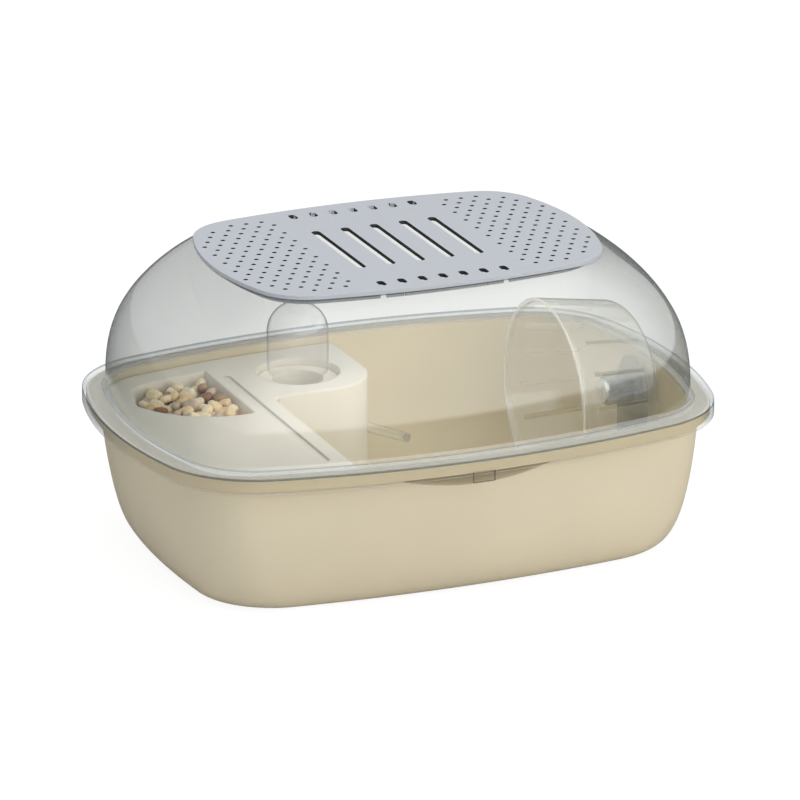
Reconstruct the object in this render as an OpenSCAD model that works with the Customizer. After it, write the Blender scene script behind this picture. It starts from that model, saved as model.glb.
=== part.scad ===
// Domed pet keeper: a moulded tub, a clear dome with a perforated vent lid,
// a feeder insert with a water bottle, and an exercise wheel on a stand.
// Millimetres. The origin is under the middle of the tub's floor, +X runs along
// the length, +Y to the back and +Z up.

/* [Overall] */
// Half length of the keeper over the dome's flange
flange_half_length = 160; // [150:0.5:175]
// Half width of the keeper over the dome's flange
flange_half_width = 117.5; // [110:0.5:130]
// Radius of the flange's corners
flange_corner = 54.5; // [48:0.5:60]
// How far the middle of the flange's end stands out past a straight line
flange_end_bow = 28.1; // [20:0.1:34]
// How far the middle of the flange's long side stands out past a straight line
flange_side_bow = 26; // [18:0.1:32]

/* [Tub] */
// How far the rim stands out past the tub's wall at the ends
rim_overhang_ends = 9.4; // [8:0.2:14]
// How far the rim stands out past the tub's wall at the long sides
rim_overhang_sides = 9.5; // [8:0.2:14]
// Height of the tub's rim
tub_height = 77.8; // [68:0.2:90]
// Wall thickness of the tub
tub_wall = 2.4; // [1.8:0.1:3]
// How far the tub's floor lies inside its wall at the ends
floor_inset_ends = 24; // [18:0.2:30]
// How far the tub's floor lies inside its wall at the long sides
floor_inset_sides = 21.3; // [16:0.1:28]
// Radius of the tub's upright corners under the rim
tub_corner = 34; // [28:1:42]
// How far the middle of the tub's end stands out past a straight line
tub_end_bow = 24.5; // [18:0.1:30]
// How far the middle of the tub's long side stands out past a straight line
tub_side_bow = 23.4; // [16:0.1:28]
// Radius of the floor's corners
floor_corner = 43; // [34:1:50]
// How far the middle of the floor's end stands out past a straight line
floor_end_bow = 4.3; // [2:0.1:10]
// How far the middle of the floor's long side stands out past a straight line
floor_side_bow = 9.9; // [4:0.1:14]
// Thickness of the rim's outward lip
lip_thickness = 2.4; // [1.8:0.1:3]
// Height of the rim's turned-down edge
lip_drop = 6; // [4:0.2:7]

/* [Finger scoop] */
// How far the scoop goes into the front wall
scoop_depth = 4; // [2:0.2:5]
// How far the scoop reaches below the rim's edge
scoop_drop = 5; // [3:0.2:8]
// Radius of the scoop seen from above
scoop_radius = 350; // [200:10:500]

/* [Dome] */
// Wall thickness of the dome
dome_wall = 2; // [1.6:0.1:2.4]
// Width of the flat flange around the dome's foot
flange_width = 12.2; // [9:0.2:14]
// Height of the skirt round the flange
skirt_height = 8.7; // [6:0.1:11]
// Gap between the skirt and the rim's lip
skirt_gap = 0.6; // [0.4:0.1:1.2]
// Height of the dome above its flange
dome_rise = 78.7; // [70:0.5:100]
// How far the dome's flat top lies inside the flange at the ends
crown_inset_ends = 55.7; // [48:0.1:64]
// How far the dome's flat top lies inside the flange at the long sides
crown_inset_sides = 43.9; // [38:0.1:50]
// Radius of the corners of the dome's flat top
crown_corner = 36; // [30:1:42]
// How far the middle of the flat top's end stands out past a straight line
crown_end_bow = 20.2; // [14:0.1:26]
// How far the middle of the flat top's long side stands out past a straight line
crown_side_bow = 12.4; // [8:0.1:18]
// Width of the ledge that carries the vent lid
lid_ledge = 5; // [4:0.2:7]
// Width of the catch tab at the front and the back
catch_width = 12; // [8:0.5:20]
// How far the catch tab's face lies behind the skirt's
catch_inset = 0.3; // [0:0.1:0.8]
// How far the catch tab hangs below the skirt
catch_drop = 4.2; // [2:0.2:6]

/* [Vent lid] */
// How far the lid ends short of the dome's flat top at the ends
lid_margin_ends = 1.1; // [0:0.1:2]
// How far the lid stands out past the dome's flat top at the long sides
lid_overhang_sides = 1.4; // [0:0.1:2]
// Radius of the vent lid's corners
lid_corner = 31; // [26:1:38]
// Thickness of the vent lid
lid_thickness = 2; // [1.5:0.1:3]
// Depth of the lid's locating rim
lid_rim_depth = 5; // [3:0.5:8]
// Thickness of the lid's locating rim
lid_rim_wall = 1.8; // [1.2:0.1:2.5]
// Gap between the locating rim and the dome's opening
lid_gap = 0.5; // [0.3:0.1:1]
// Diameter of a round vent hole
vent_hole = 2.45; // [1.8:0.05:3]
// Distance between neighbouring vent holes in a row
vent_pitch = 8.584; // [8:0.1:8.8]
// Distance from the lid's end to the outermost vent holes
vent_margin = 7.688; // [6:0.1:12]
// Columns of vent holes after the first one
vent_columns = 11; // [6:1:11]
// Number of long slots
slot_count = 5; // [3:2:5]
// Distance between long slots
slot_pitch = 16.4; // [13:0.2:16.6]
// Length of a long slot
slot_length = 68; // [40:1:76]
// Width of a long slot
slot_width = 4.7; // [3:0.1:6]
// Number of short slots in a row
notch_count = 7; // [3:2:7]
// Distance between short slots
notch_pitch = 11.3; // [9:0.1:11.6]
// Distance from the lid's long side to the rows of short slots
notch_margin = 13.3; // [11:0.1:16]
// Length of a short slot
notch_length = 7.6; // [5:0.2:9]
// Width of a short slot
notch_width = 4; // [3:0.1:5]

/* [Feeder] */
// How far the feeder's deck lies below the tub's rim
deck_drop = 4.8; // [4.4:0.1:12]
// Thickness of the deck and of the feeder's walls
deck_wall = 2.2; // [1.6:0.1:2.6]
// Gap between the feeder and the tub
feeder_gap = 0.9; // [0.6:0.1:1.5]
// How far the deck reaches from the tub's left end
deck_reach = 92.6; // [86:0.2:98]
// How far the bottle lobe reaches past the deck's edge
lobe_reach = 63; // [59:0.5:65]
// How far the bottle lobe reaches from the tub's back
lobe_depth = 76.7; // [72:0.1:80]
// Radius of the inner corner between the deck and the lobe
lobe_fillet = 6; // [3:0.5:8]
// Radius of the lobe's front corner
lobe_corner = 28; // [20:1:30]
// Depth of the rim that hangs from the deck's edge
deck_rim = 12; // [8:1:18]
// Width of the den's arched door
door_width = 52; // [40:1:60]
// Height of the den's arched door
door_height = 50; // [44:1:58]
// Place of the den's door along the feeder's right wall
door_y = -36; // [-42:1:-28]
// Length of the shallow channel beside the bowl
groove_length = 146; // [120:1:150]
// Width of the channel
groove_width = 4; // [3:0.5:6]
// Depth of the channel
groove_depth = 1; // [0.5:0.1:1.4]
// Distance from the channel's middle to the deck's edge
groove_margin = 10.5; // [8:0.1:14]

/* [Feed bowl] */
// Distance from the bowl's right side to the deck's edge
bowl_margin = 17.5; // [15:0.5:24]
// Distance from the bowl's right side to the middle of its round front edge
bowl_centre_in = 6.5; // [2:0.5:12]
// Distance from the tub's back to the middle of the bowl's round front edge
bowl_centre_depth = 48; // [42:0.5:54]
// Radius of the bowl's round front edge
bowl_radius = 49; // [42:0.5:50]
// Width of the land between the tub's wall and the bowl
bowl_land = 15; // [13:0.5:20]
// Depth of the bowl
bowl_depth = 26; // [18:1:34]
// How much the bowl narrows on its way down
bowl_taper = 7; // [3:0.5:10]
// Depth of the feed's top below the deck
feed_drop = 7; // [5:0.5:10]

/* [Water bottle] */
// Distance from the lobe's right wall to the bottle's middle
bottle_inset = 35; // [30:0.5:36]
// Distance from the tub's back to the bottle's middle
bottle_depth = 42; // [38:0.5:46]
// Diameter of the bottle's body
bottle_diameter = 33; // [28:0.5:35]
// Height of the bottle's round end above the deck
bottle_rise = 39; // [28:1:42]
// Wall thickness of the bottle
bottle_wall = 1.2; // [0.8:0.1:1.6]
// Diameter of the bottle's neck
neck_diameter = 27; // [22:0.5:27.5]
// Height of the slope between the bottle's neck and its body
shoulder_rise = 3; // [2:0.5:5]
// Depth of the socket
socket_depth = 16; // [14:0.5:18]
// Diameter of the bottle's cap
cap_diameter = 43.6; // [38:0.2:46]
// Height of the bottle's cap
cap_height = 12; // [10:0.2:13]
// Wall thickness of the bottle's cap
cap_wall = 2; // [1.5:0.1:2.6]
// Gap between the cap and the socket
socket_gap = 0.5; // [0.3:0.1:0.8]
// Number of grip grooves round the cap
grip_count = 30; // [20:1:36]
// Diameter of a grip groove
grip_groove = 2; // [1:0.1:2.6]
// Depth of a grip groove
grip_depth = 0.5; // [0.2:0.05:0.7]
// Thickness of the cap's washer
washer_thickness = 1.2; // [0.8:0.1:2]
// Width of the cap's washer
washer_width = 4; // [3:0.5:8]
// Diameter of the cap's nozzle
nozzle_diameter = 7.4; // [6:0.1:8]
// Wall thickness of the nozzle
nozzle_wall = 1.6; // [1.2:0.1:2]
// Length of the cap's nozzle
nozzle_length = 6; // [5:0.5:7]
// Thickness of the sealing ring round the nozzle
ring_thickness = 2; // [1.6:0.1:2.4]
// Wall thickness of the spout elbow
elbow_wall = 1.8; // [1.4:0.1:2.4]

/* [Drinking tube] */
// Outer diameter of the tube
tube_diameter = 5.4; // [4.8:0.1:6]
// Wall thickness of the tube
tube_wall = 0.55; // [0.4:0.05:0.8]
// How far below the deck the tube leaves the feeder's wall
tube_exit_drop = 35; // [33:0.5:37]
// Slope of the tube below the level
tube_slope = 21.3; // [16:0.1:26]
// How far the tube stands out of the feeder's wall
tube_reach = 31.5; // [24:0.5:36]
// How far the tube reaches back inside the feeder's wall
tube_inner = 23; // [20:0.5:26]
// Wall thickness of the grommet round the tube
grommet_wall = 2.2; // [2:0.1:3]
// How far the grommet's flanges stand out
grommet_lip = 1.8; // [1:0.1:2.4]
// Thickness of the grommet's flanges
grommet_flange = 1.2; // [0.8:0.1:1.6]
// Diameter of the ball in the tube's tip
ball_diameter = 4; // [3:0.1:4.1]
// Thickness of the lip that holds the ball in
tip_lip = 0.6; // [0.4:0.1:1]

/* [Wheel] */
// Outer radius of the drum at its mouth
wheel_radius = 54; // [46:0.5:54.5]
// Outer radius of the drum at its closed back
wheel_back_radius = 48.5; // [42:0.5:49]
// Depth of the drum
wheel_depth = 49.4; // [40:0.2:50]
// Wall thickness of the drum
wheel_wall = 2.2; // [1.6:0.1:2.6]
// Radius between the drum's side and its back
wheel_fillet = 11; // [8:0.5:14]
// Height of the wheel's axis
wheel_height = 62; // [60:0.5:64]
// Place of the wheel's axis along the width
wheel_y = 4.3; // [-2:0.1:8]
// Distance from the tub's right end to the drum's mouth
wheel_inset = 64.8; // [64.6:0.1:67]
// Number of traction slots
traction_slots = 18; // [9:1:24]
// Width of a traction slot
traction_width = 2.2; // [1.6:0.1:3]
// Length of a traction slot
traction_length = 32; // [20:1:33]
// Distance from the drum's mouth to a traction slot
traction_from = 9; // [6:0.5:9]
// Diameter of the hub
hub_diameter = 17; // [15:0.5:22]
// Length of the hub
hub_length = 13; // [10:0.5:18]

/* [Wheel stand] */
// Width of the stand's upright
stand_width = 34; // [26:1:40]
// Thickness of the stand
stand_wall = 2.4; // [2:0.1:2.4]
// Gap between the drum's back and the stand
stand_gap = 1.4; // [1.2:0.1:1.8]
// Radius of the stand's outer bend
stand_bend = 25.6; // [25:0.1:26]
// Length of the stand's foot under the wheel
foot_length = 58; // [40:1:62]
// Width of the stand's foot
foot_width = 62; // [50:1:80]
// Diameter of the axle
axle_diameter = 6; // [5:0.5:7]
// Radial clearance of the axle in its bush
axle_clearance = 0.06; // [0.02:0.01:0.1]
// Wall thickness of the bush
bush_wall = 2; // [1.5:0.1:2.5]
// Thickness of the bush's flange
bush_flange = 1; // [0.8:0.1:1]
// Diameter of the axle's head and of its clip
axle_head = 12.5; // [11:0.5:14]
// Thickness of the axle's head
head_thickness = 2.4; // [1.6:0.1:3]
// Length of the stand's boss
boss_length = 4.6; // [3:0.2:5]
// Thickness of the clip on the axle's end
clip_thickness = 1.4; // [1:0.1:1.6]

/* [Hidden] */
$fn = 64;
eps = 0.01;

tub_half_length = flange_half_length - rim_overhang_ends;
tub_half_width = flange_half_width - rim_overhang_sides;
floor_half_length = tub_half_length - floor_inset_ends;
floor_half_width = tub_half_width - floor_inset_sides;
crown_half_length = flange_half_length - crown_inset_ends;
crown_half_width = flange_half_width - crown_inset_sides;
lid_half_length = crown_half_length - lid_margin_ends;
lid_half_width = crown_half_width + lid_overhang_sides;
vent_start = lid_half_length - vent_margin - vent_columns * vent_pitch / 2;
notch_y = lid_half_width - notch_margin;
deck_edge_x = -tub_half_length + deck_reach;
lobe_right_x = deck_edge_x + lobe_reach;
lobe_front_y = tub_half_width - lobe_depth;
bowl_right_x = deck_edge_x - bowl_margin;
bowl_centre = [bowl_right_x - bowl_centre_in, tub_half_width - bowl_centre_depth];
bottle_centre = [lobe_right_x - bottle_inset, tub_half_width - bottle_depth];
wheel_mouth_x = tub_half_length - wheel_inset;

// Steps of a quarter outline: half an end, a corner, half a long side.
end_steps = 4;
corner_steps = 6;
side_steps = 8;
// Rings of a lofted wall.
tub_rings = 12;
dome_rings = 13;

flange_z = tub_height;
flange_top = flange_z + dome_wall;
skirt_bottom = flange_top - skirt_height;
crown_z = flange_top + dome_rise;
deck_height = tub_height - deck_drop;
deck_under = deck_height - deck_wall;
tube_exit_height = deck_height - tube_exit_drop;

// The plan outline of the moulded parts: [half length, half width, bow of an end,
// bow of a long side, corner radius].
flange_plan = [flange_half_length, flange_half_width, flange_end_bow, flange_side_bow, flange_corner];
tub_plan = [tub_half_length, tub_half_width, tub_end_bow, tub_side_bow, tub_corner];
floor_plan = [floor_half_length, floor_half_width, floor_end_bow, floor_side_bow, floor_corner];
foot_plan = inset_plan(flange_plan, flange_width);
crown_plan = [crown_half_length, crown_half_width, crown_end_bow, crown_side_bow, crown_corner];
lid_plan = [lid_half_length, lid_half_width, crown_end_bow, crown_side_bow, lid_corner];

// Radius of an arc over half a chord with a given height.
function arc_radius(half_chord, bow) = (half_chord * half_chord + bow * bow) / (2 * bow);
function arc_bow(half_chord, radius) = radius - sqrt(radius * radius - half_chord * half_chord);

// The outline that lies at one distance inside another.
function inset_plan(plan, by) = [
    plan[0] - by,
    plan[1] - by,
    arc_bow(plan[1] - by, arc_radius(plan[1], plan[2]) - by),
    arc_bow(plan[0] - by, arc_radius(plan[0], plan[3]) - by),
    plan[4] - by
];

function arc_points(centre, radius, from, to, steps) =
    [for (i = [1:steps]) centre + radius * [cos(from + (to - from) * i / steps),
                                            sin(from + (to - from) * i / steps)]];

// Where the corner arc's centre lies: on both side arcs, moved in by the corner radius.
function corner_centre(end_c, side_c, end_r, side_r) =
    let (
        gap = norm([end_c, side_c]),
        along = [end_c, -side_c] / gap,
        run = (side_r * side_r - end_r * end_r + gap * gap) / (2 * gap),
        off = sqrt(max(0, side_r * side_r - run * run)),
        foot = [0, side_c] + run * along,
        a = foot + off * [along.y, -along.x],
        b = foot - off * [along.y, -along.x]
    )
    a.x + a.y > b.x + b.y ? a : b;

// A rounded rectangle with bowed sides, from three tangent arcs in each quarter.
function plan_points(plan) =
    let (
        end_r = arc_radius(plan[1], plan[2]),
        side_r = arc_radius(plan[0], plan[3]),
        end_c = plan[0] - end_r,
        side_c = plan[1] - side_r,
        c = corner_centre(end_c, side_c, end_r - plan[4], side_r - plan[4]),
        a1 = atan2(c.y, c.x - end_c),
        a2 = atan2(c.y - side_c, c.x),
        quarter = concat(
            [[plan[0], 0]],
            arc_points([end_c, 0], end_r, 0, a1, end_steps),
            arc_points(c, plan[4], a1, a2, corner_steps),
            arc_points([0, side_c], side_r, a2, 90, side_steps)
        ),
        n = len(quarter) - 1
    )
    concat(
        [for (i = [0:n - 1]) quarter[i]],
        [for (i = [n:-1:1]) [-quarter[i].x, quarter[i].y]],
        [for (i = [0:n - 1]) -quarter[i]],
        [for (i = [n:-1:1]) [quarter[i].x, -quarter[i].y]]
    );

// A closed wall through a stack of outlines with as many points each.
module skin(plans, heights) {
    rings = [for (plan = plans) plan_points(plan)];
    n = len(rings[0]);
    last = len(rings) - 1;
    points = [for (k = [0:last]) for (p = rings[k]) [p.x, p.y, heights[k]]];
    sides = [
        for (k = [0:last - 1]) for (i = [0:n - 1])
            let (a = k * n + i, b = k * n + (i + 1) % n)
            each [[a, a + n, b + n], [a, b + n, b]]
    ];
    polyhedron(points, concat([[for (i = [0:n - 1]) i]], sides, [[for (i = [n - 1:-1:0]) last * n + i]]));
}

// The tub's outline at a share of the way down from its rim (0) to its floor (1).
function tub_plan_at(down) =
    let (
        ends = 1 - pow(1 - pow(down, 1.2), 1 / 2.4),
        sides = 1 - pow(1 - pow(down, 2.5), 1 / 1.8),
        both = (ends + sides) / 2
    )
    [
        tub_plan[0] + (floor_plan[0] - tub_plan[0]) * ends,
        tub_plan[1] + (floor_plan[1] - tub_plan[1]) * sides,
        tub_plan[2] + (floor_plan[2] - tub_plan[2]) * both,
        tub_plan[3] + (floor_plan[3] - tub_plan[3]) * both,
        tub_plan[4] + (floor_plan[4] - tub_plan[4]) * both
    ];

// The solid that fills the tub's outer wall moved in by a distance, from one height up.
module tub_solid(by, low) {
    shares = [for (i = [0:tub_rings]) cos(90 * i / tub_rings)];
    straight = skirt_bottom;
    plans = [for (s = shares) inset_plan(tub_plan_at(s), by)];
    heights = [for (s = shares) low + (straight - low) * (1 - s)];
    skin(concat(plans, [inset_plan(tub_plan, by)]), concat(heights, [tub_height + (by > 0 ? 1 : 0)]));
}

// The dome's outline at a share of the way up from its foot (0) to its flat top (1).
function dome_plan_at(up) =
    let (
        ends = 1 - pow(up, 3.1),
        sides = pow(1 - pow(up, 1.6), 1 / 1.5),
        both = (ends + sides) / 2
    )
    [
        crown_plan[0] + (foot_plan[0] - crown_plan[0]) * ends,
        crown_plan[1] + (foot_plan[1] - crown_plan[1]) * sides,
        crown_plan[2] + (foot_plan[2] - crown_plan[2]) * both,
        crown_plan[3] + (foot_plan[3] - crown_plan[3]) * both,
        crown_plan[4] + (foot_plan[4] - crown_plan[4]) * both
    ];

// The solid that fills the dome's outer skin moved in by a distance.
module dome_solid(by) {
    shares = [for (i = [0:dome_rings]) sin(90 * i / dome_rings)];
    plans = [for (s = shares) inset_plan(dome_plan_at(s), by)];
    heights = [for (s = shares) flange_top + (dome_rise - by) * s];
    skin(concat([plans[0]], plans), concat([flange_z - (by > 0 ? 1 : 0)], heights));
}

// A flat plate of the shape of one plan outline.
module plate(plan, height) {
    linear_extrude(height) polygon(plan_points(plan));
}

// A ring that follows one plan outline.
module plan_ring(plan, width, height) {
    linear_extrude(height) difference() {
        polygon(plan_points(plan));
        polygon(plan_points(inset_plan(plan, width)));
    }
}

// The front finger scoop, or the bulge behind it when moved in by a distance.
module scoop(by) {
    slant = scoop_drop + by;
    translate([0, -tub_half_width - scoop_radius + scoop_depth, skirt_bottom - slant]) {
        cylinder(h = slant + eps, r1 = scoop_radius - scoop_depth, r2 = scoop_radius + by, $fn = 360);
        translate([0, 0, slant])
            cylinder(h = tub_height - lip_thickness - skirt_bottom, r = scoop_radius + by, $fn = 360);
    }
}

module tub_shell() {
    lip_plan = inset_plan(flange_plan, dome_wall + skirt_gap);
    color([0.84, 0.80, 0.70])
    difference() {
        union() {
            difference() {
                tub_solid(0, 0);
                difference() {
                    tub_solid(tub_wall, tub_wall);
                    scoop(tub_wall);
                }
                scoop(0);
            }
            translate([0, 0, tub_height - lip_thickness])
                plan_ring(lip_plan, rim_overhang_ends, lip_thickness);
            translate([0, 0, tub_height - lip_drop]) plan_ring(lip_plan, lip_thickness, lip_drop);
        }
        translate([0, 0, tub_height - lip_thickness])
            plate(inset_plan(tub_plan, tub_wall), lip_thickness + 1);
    }
}

module dome_cover() {
    opening = inset_plan(crown_plan, lid_ledge + dome_wall);
    color([0.75, 0.82, 0.86, 0.45])
    difference() {
        union() {
            dome_solid(0);
            translate([0, 0, flange_z]) plate(flange_plan, dome_wall);
        }
        dome_solid(dome_wall);
        translate([0, 0, crown_z - 2 * dome_wall]) plate(opening, 3 * dome_wall);
    }
}

// The skirt that hangs from the flange round the tub's rim, with its catch tabs.
module cover_skirt() {
    color([0.75, 0.82, 0.86, 0.45]) {
        translate([0, 0, skirt_bottom]) plan_ring(flange_plan, dome_wall, flange_z - skirt_bottom);
        for (side = [-1, 1]) catch_tab(side);
    }
}

// The tab that hangs from the skirt and springs under the tub's rim.
module catch_tab(side) {
    translate([-catch_width / 2, side > 0 ? flange_half_width - dome_wall : -flange_half_width + catch_inset,
               skirt_bottom - catch_drop])
        cube([catch_width, dome_wall - catch_inset, catch_drop + (flange_z - skirt_bottom) / 2]);
}

// The vent holes of the lid's right half, as [column, row] of a hexagonal lattice:
// the field's inner edge is straight, and its outer corners are cut to follow the lid.
function vent_sites() = [
    for (column = [0:vent_columns]) for (row = [-8:8])
        if ((column + row) % 2 != 0 && abs(row) <= 15 - column && (abs(row) < 8 || column < 6)) [column, row]
];

module lid_cuts() {
    step = vent_pitch / 2;
    for (side = [-1, 1]) for (site = vent_sites())
        translate([side * (vent_start + site.x * step), site.y * step * sqrt(3)]) circle(d = vent_hole, $fn = 16);
    for (i = [0:slot_count - 1])
        translate([(i - (slot_count - 1) / 2) * slot_pitch, 0]) slot(slot_width, slot_length);
    notches();
}

// The two rows of short slots, which also pass the locating rim.
module notches() {
    for (side = [-1, 1]) for (i = [0:notch_count - 1])
        translate([(i - (notch_count - 1) / 2) * notch_pitch, side * notch_y]) slot(notch_width, notch_length);
}

// A slot with round ends along Y.
module slot(width, length) {
    for (side = [-1, 1]) translate([0, side * (length - width) / 2]) circle(d = width, $fn = 24);
    square([width, length - width], center = true);
}

module vent_lid() {
    rim = inset_plan(crown_plan, lid_ledge + dome_wall + lid_gap);
    color([0.80, 0.83, 0.86]) {
        translate([0, 0, crown_z]) linear_extrude(lid_thickness) difference() {
            polygon(plan_points(lid_plan));
            lid_cuts();
        }
        translate([0, 0, crown_z - lid_rim_depth]) difference() {
            plan_ring(rim, lid_rim_wall, lid_rim_depth);
            translate([0, 0, -1]) linear_extrude(lid_rim_depth + 2) notches();
        }
    }
}

// How far the lobe's outline runs in behind the deck's edge.
lobe_overlap = 10;

// The lobe round the bottle, seen from above, moved in by a distance.
module lobe_shape(by) {
    reach = 2 * lobe_corner + tub_half_width;
    right = lobe_right_x - by;
    front = lobe_front_y + by;
    translate([right - lobe_corner + by, front + lobe_corner - by]) circle(r = lobe_corner - by);
    translate([deck_edge_x - lobe_overlap, front])
        square([right - lobe_corner + by - deck_edge_x + lobe_overlap, reach]);
    translate([deck_edge_x - lobe_overlap, front + lobe_corner - by])
        square([right - deck_edge_x + lobe_overlap, reach]);
}

// The feeder's outline seen from above.
module deck_shape() {
    translate([-2 * tub_half_length, -2 * tub_half_width])
        square([2 * tub_half_length + deck_edge_x, 4 * tub_half_width]);
    lobe_shape(0);
    translate([deck_edge_x, lobe_front_y - lobe_fillet]) difference() {
        translate([-1, 0]) square([lobe_fillet + 1, lobe_fillet + 1]);
        translate([lobe_fillet, 0]) circle(r = lobe_fillet);
    }
}

// The bowl's outline, moved in by a distance.
module bowl_shape(by) {
    intersection() {
        translate(bowl_centre) circle(r = bowl_radius - by, $fn = 72);
        polygon(plan_points(inset_plan(tub_plan, tub_wall + bowl_land + by)));
        translate([bowl_right_x - by - 2 * bowl_radius, bowl_centre.y - bowl_radius])
            square([2 * bowl_radius, 2 * bowl_radius]);
    }
}

// The tapered body of the bowl between two heights, moved in by a distance.
module bowl_body(by, low, high) {
    hull() {
        translate([0, 0, low]) linear_extrude(eps) bowl_shape(by + bowl_taper);
        translate([0, 0, high - eps]) linear_extrude(eps) bowl_shape(by);
    }
}

module feeder_tray() {
    socket_r = cap_diameter / 2 + socket_gap;
    rim_plan = inset_plan(tub_plan, tub_wall + feeder_gap);
    bowl_floor = deck_height - bowl_depth;
    color([0.88, 0.86, 0.81])
    difference() {
        intersection() {
            tub_solid(tub_wall + feeder_gap, tub_wall);
            union() {
                translate([0, 0, deck_under]) linear_extrude(deck_wall) deck_shape();
                translate([0, 0, deck_height - deck_rim]) linear_extrude(deck_rim) intersection() {
                    difference() {
                        polygon(plan_points(rim_plan));
                        polygon(plan_points(inset_plan(rim_plan, deck_wall)));
                    }
                    deck_shape();
                }
                lobe_wall();
                den_wall();
                bowl_body(-deck_wall, bowl_floor - deck_wall, deck_height);
                translate([bottle_centre.x, bottle_centre.y, deck_height - socket_depth - deck_wall])
                    cylinder(h = socket_depth + deck_wall, r = socket_r + deck_wall);
            }
        }
        bowl_body(0, bowl_floor, deck_height + eps);
        translate([bottle_centre.x, bottle_centre.y, deck_height - socket_depth])
            cylinder(h = socket_depth + 1, r = socket_r);
        translate([bottle_centre.x, bottle_centre.y, 0])
            cylinder(h = deck_height, r = nozzle_diameter / 2 + socket_gap);
        grommet_place() cylinder(h = 4 * deck_wall, r = grommet_neck_r, center = true);
        deck_groove();
    }
}

// The lobe's wall from the tub's floor up to the deck.
module lobe_wall() {
    translate([0, 0, tub_wall]) linear_extrude(deck_height - tub_wall) difference() {
        lobe_shape(0);
        lobe_shape(deck_wall);
        translate([deck_edge_x - 2 * lobe_overlap, lobe_front_y - 1])
            square([2 * lobe_overlap - deck_wall, 4 * lobe_corner]);
    }
}

// The wall under the deck's right edge, with the den's arched door.
module den_wall() {
    difference() {
        translate([deck_edge_x - deck_wall, -2 * tub_half_width, tub_wall])
            cube([deck_wall, 2 * tub_half_width + lobe_front_y + deck_wall, deck_height - tub_wall]);
        translate([deck_edge_x - deck_wall - 1, door_y, 0]) rotate([90, 0, 90]) linear_extrude(deck_wall + 2) {
            translate([0, door_height - door_width / 2]) circle(d = door_width);
            translate([-door_width / 2, 0]) square([door_width, door_height - door_width / 2]);
        }
    }
}

// The shallow channel that runs beside the bowl.
module deck_groove() {
    translate([deck_edge_x - groove_margin, 0, deck_height - groove_depth])
        linear_extrude(groove_depth + 1) slot(groove_width, groove_length);
}

// Puts children on the hole where the tube leaves the lobe, with their axis along X.
module grommet_place() {
    translate([lobe_right_x - deck_wall / 2, bottle_centre.y, tube_exit_height + deck_wall / 2 * tan(tube_slope)])
        rotate([0, 90, 0]) children();
}
grommet_neck_r = tube_diameter / 2 + grommet_wall;
grommet_flange_r = grommet_neck_r + grommet_lip;

// Gap between the loose feed and the bowl's wall.
feed_gap = 0.3;

module feed_mix() {
    floor_z = deck_height - bowl_depth;
    color([0.78, 0.62, 0.42])
    intersection() {
        bowl_body(feed_gap, floor_z, deck_height);
        translate([-tub_half_length, 0, 0]) cube([tub_half_length, tub_half_width, deck_height - feed_drop]);
    }
}

// Height of the bottle's open end, which its cap covers.
neck_bottom = deck_height - socket_depth + cap_wall + washer_thickness;
bottle_top = deck_height + bottle_rise;

// Half section of the bottle, moved in by a distance.
module bottle_half(by) {
    r = bottle_diameter / 2 - by;
    neck_r = neck_diameter / 2 - by;
    shoulder = neck_bottom + cap_height - cap_wall + 1;
    body_low = shoulder + shoulder_rise;
    difference() {
        union() {
            translate([0, bottle_top - bottle_diameter / 2]) circle(r = r);
            translate([0, body_low]) square([r, bottle_top - bottle_diameter / 2 - body_low]);
            polygon([[0, shoulder], [neck_r, shoulder], [r, body_low], [0, body_low]]);
            translate([0, neck_bottom - (by > 0 ? 1 : 0)]) square([neck_r, shoulder - neck_bottom + 1 + eps]);
        }
        translate([-2 * bottle_diameter, 0]) square([2 * bottle_diameter, 2 * bottle_top]);
    }
}

module water_bottle() {
    color([0.85, 0.90, 0.92, 0.4])
    translate([bottle_centre.x, bottle_centre.y, 0]) rotate_extrude() difference() {
        bottle_half(0);
        bottle_half(bottle_wall);
    }
}

module bottle_cap() {
    low = deck_height - socket_depth;
    color([0.90, 0.90, 0.88])
    translate([bottle_centre.x, bottle_centre.y, low]) difference() {
        union() {
            cylinder(h = cap_height, r = cap_diameter / 2);
            translate([0, 0, -nozzle_length]) cylinder(h = nozzle_length + 1, r = nozzle_diameter / 2);
        }
        translate([0, 0, cap_wall]) cylinder(h = cap_height, r = neck_diameter / 2 + 0.1);
        translate([0, 0, -nozzle_length - 1])
            cylinder(h = nozzle_length + cap_wall + 2, r = nozzle_diameter / 2 - nozzle_wall);
        for (i = [0:grip_count - 1]) rotate(i * 360 / grip_count)
            translate([(cap_diameter + grip_groove) / 2 - grip_depth, 0, cap_wall])
                cylinder(h = cap_height, d = grip_groove, $fn = 16);
    }
}

module cap_seal() {
    low = deck_height - socket_depth + cap_wall;
    color([0.75, 0.75, 0.72])
    translate([bottle_centre.x, bottle_centre.y, low]) difference() {
        cylinder(h = washer_thickness, r = neck_diameter / 2 - 0.1);
        translate([0, 0, -1]) cylinder(h = washer_thickness + 2, r = neck_diameter / 2 - washer_width);
    }
}

// Puts children where the tube leaves the lobe's wall, with +Z along the tube.
module tube_axis() {
    translate([lobe_right_x, bottle_centre.y, tube_exit_height]) rotate([0, 90 + tube_slope, 0]) children();
}
// The tube's own line, followed back to the middle of the socket.
elbow_run = (lobe_right_x - bottle_centre.x) / cos(tube_slope);
turn_z = tube_exit_height + (lobe_right_x - bottle_centre.x) * tan(tube_slope);
elbow_r = tube_diameter / 2 + elbow_wall;
elbow_grip = 6;
ring_gap = 0.1;
socket_under = deck_height - socket_depth - deck_wall;

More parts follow.
